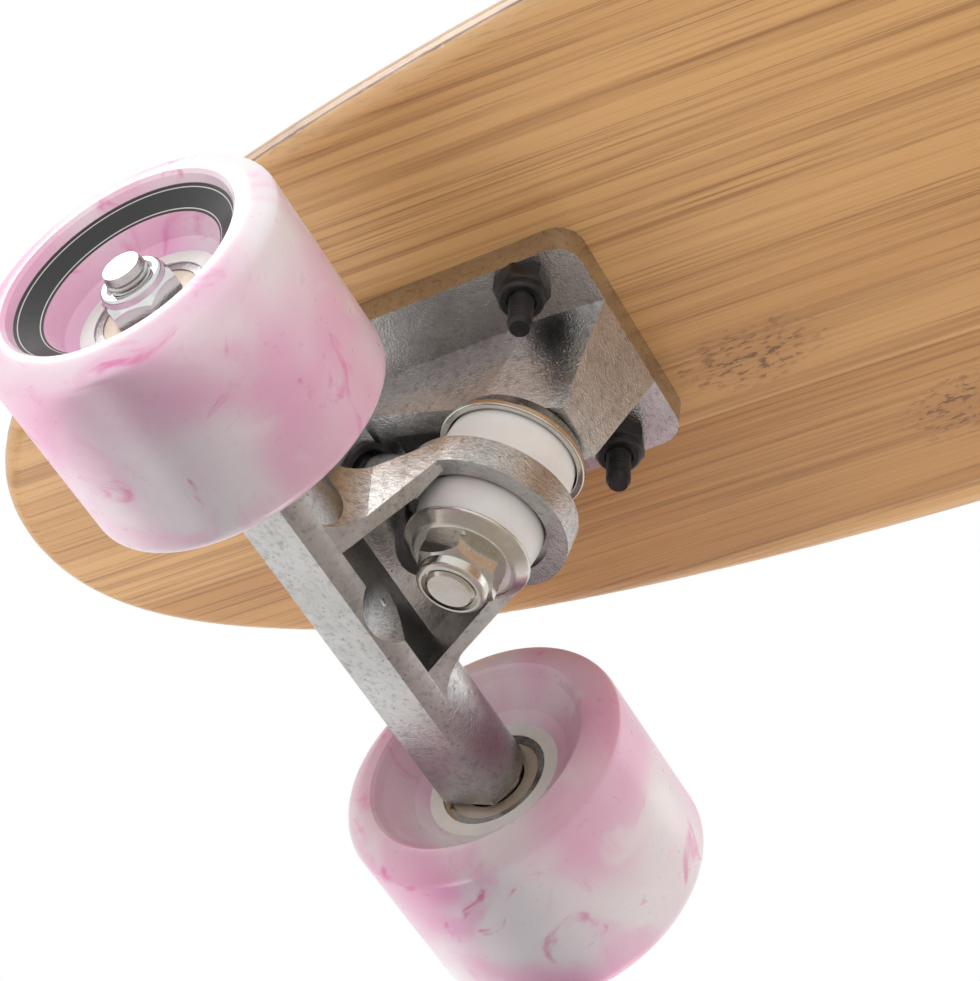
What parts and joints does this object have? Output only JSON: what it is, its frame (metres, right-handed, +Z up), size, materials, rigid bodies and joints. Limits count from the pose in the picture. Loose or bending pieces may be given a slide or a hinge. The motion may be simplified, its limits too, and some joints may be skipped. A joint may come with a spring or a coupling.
{
  "type": "skateboard",
  "caption": "Small unpowered bamboo cruiser skateboard with a rounded nose, a kicktail, cast trucks that steer on urethane bushings, and marbled urethane wheels.",
  "frame": {"origin": "on the floor, under the middle of the board's length and width, with the board standing on its wheels", "axes": "+X from the nose to the kicktail, +Y to the rider's right when facing the nose's way, +Z up"},
  "size_m": [0.57, 0.172, 0.1167],
  "materials": {
    "bamboo": "clear satin lacquer over lengthwise bamboo strips",
    "grip": "black grit",
    "cast_truck": "raw cast, edges rubbed bright",
    "zinc_steel": "bright zinc plate",
    "bright_steel": "bright steel",
    "black_steel": "black oxide",
    "chrome": "chrome plate",
    "bearing_steel": "ground bearing steel",
    "bearing_shield": "beige shield",
    "black_urethane": "black moulded urethane",
    "white_urethane": "milky white cast urethane",
    "wheel_urethane": "pink and white marbled urethane with a black printed band",
    "white_plastic": "white moulded nylon",
    "cage_plastic": "black moulded nylon"
  },
  "bodies": {
    "deck": {"deck_board": "bamboo", "grip_tape": "grip", "front_baseplate": "cast_truck", "front_pivot_cup": "black_urethane", "front_kingpin": "zinc_steel", "front_kingpin_nut": "zinc_steel", "front_boardside_washer": "zinc_steel", "front_roadside_washer": "zinc_steel", "front_boardside_bushing": "white_urethane", "front_roadside_bushing": "white_urethane", "front_mounting_bolts": "black_steel", "front_mounting_nuts": "black_steel", "rear_baseplate": "cast_truck", "rear_pivot_cup": "black_urethane", "rear_kingpin": "zinc_steel", "rear_kingpin_nut": "zinc_steel", "rear_boardside_washer": "zinc_steel", "rear_roadside_washer": "zinc_steel", "rear_boardside_bushing": "white_urethane", "rear_roadside_bushing": "white_urethane", "rear_mounting_bolts": "black_steel", "rear_mounting_nuts": "black_steel"},
    "front_hanger": {"front_hanger": "cast_truck", "front_axle": "bright_steel", "front_axle_nuts": "chrome", "front_speed_rings": "bright_steel", "front_bearing_spacers": "bright_steel", "front_bearing_inner_rings": "bearing_steel"},
    "rear_hanger": {"rear_hanger": "cast_truck", "rear_axle": "bright_steel", "rear_axle_nuts": "chrome", "rear_speed_rings": "bright_steel", "rear_bearing_spacers": "bright_steel", "rear_bearing_inner_rings": "bearing_steel"},
    "front_right_wheel": {"front_right_tyre": "wheel_urethane", "front_right_wheel_core": "white_plastic", "front_right_bearing_outer_rings": "bearing_steel", "front_right_bearing_shields": "bearing_shield"},
    "front_right_ball_set": {"front_right_bearing_balls": "bearing_steel", "front_right_bearing_cages": "cage_plastic"},
    "front_left_wheel": {"front_left_tyre": "wheel_urethane", "front_left_wheel_core": "white_plastic", "front_left_bearing_outer_rings": "bearing_steel", "front_left_bearing_shields": "bearing_shield"},
    "front_left_ball_set": {"front_left_bearing_balls": "bearing_steel", "front_left_bearing_cages": "cage_plastic"},
    "rear_left_wheel": {"rear_left_tyre": "wheel_urethane", "rear_left_wheel_core": "white_plastic", "rear_left_bearing_outer_rings": "bearing_steel", "rear_left_bearing_shields": "bearing_shield"},
    "rear_left_ball_set": {"rear_left_bearing_balls": "bearing_steel", "rear_left_bearing_cages": "cage_plastic"},
    "rear_right_wheel": {"rear_right_tyre": "wheel_urethane", "rear_right_wheel_core": "white_plastic", "rear_right_bearing_outer_rings": "bearing_steel", "rear_right_bearing_shields": "bearing_shield"},
    "rear_right_ball_set": {"rear_right_bearing_balls": "bearing_steel", "rear_right_bearing_cages": "cage_plastic"}
  },
  "joints": [
    {"name": "front_steer", "type": "hinge", "parent": "deck", "child": "front_hanger", "pos_m": [-0.17705, 0, 0.04292], "axis": [-0.7349, 0, 0.6782], "range_deg": [-12, 12], "stiffness_Nm_per_rad": 30, "deforming": ["front_boardside_bushing", "front_roadside_bushing"]},
    {"name": "rear_steer", "type": "hinge", "parent": "deck", "child": "rear_hanger", "pos_m": [0.13245, 0, 0.04292], "axis": [0.7349, 0, 0.6782], "range_deg": [-12, 12], "stiffness_Nm_per_rad": 30, "deforming": ["rear_boardside_bushing", "rear_roadside_bushing"]},
    {"name": "front_right_roll", "type": "hinge", "parent": "front_hanger", "child": "front_right_wheel", "pos_m": [-0.2011, 0.063, 0.0295], "axis": [0, 1, 0], "continuous": true},
    {"name": "front_right_ball_roll", "type": "hinge", "parent": "front_hanger", "child": "front_right_ball_set", "pos_m": [-0.2011, 0.063, 0.0295], "axis": [0, 1, 0], "continuous": true},
    {"name": "front_left_roll", "type": "hinge", "parent": "front_hanger", "child": "front_left_wheel", "pos_m": [-0.2011, -0.063, 0.0295], "axis": [0, 1, 0], "continuous": true},
    {"name": "front_left_ball_roll", "type": "hinge", "parent": "front_hanger", "child": "front_left_ball_set", "pos_m": [-0.2011, -0.063, 0.0295], "axis": [0, 1, 0], "continuous": true},
    {"name": "rear_left_roll", "type": "hinge", "parent": "rear_hanger", "child": "rear_left_wheel", "pos_m": [0.1565, -0.063, 0.0295], "axis": [0, 1, 0], "continuous": true},
    {"name": "rear_left_ball_roll", "type": "hinge", "parent": "rear_hanger", "child": "rear_left_ball_set", "pos_m": [0.1565, -0.063, 0.0295], "axis": [0, 1, 0], "continuous": true},
    {"name": "rear_right_roll", "type": "hinge", "parent": "rear_hanger", "child": "rear_right_wheel", "pos_m": [0.1565, 0.063, 0.0295], "axis": [0, 1, 0], "continuous": true},
    {"name": "rear_right_ball_roll", "type": "hinge", "parent": "rear_hanger", "child": "rear_right_ball_set", "pos_m": [0.1565, 0.063, 0.0295], "axis": [0, 1, 0], "continuous": true}
  ],
  "couplings": [
    {"joint": "front_right_ball_roll", "follows": "front_right_roll", "ratio": 0.6323},
    {"joint": "front_left_ball_roll", "follows": "front_left_roll", "ratio": 0.6323},
    {"joint": "rear_left_ball_roll", "follows": "rear_left_roll", "ratio": 0.6323},
    {"joint": "rear_right_ball_roll", "follows": "rear_right_roll", "ratio": 0.6323}
  ]
}
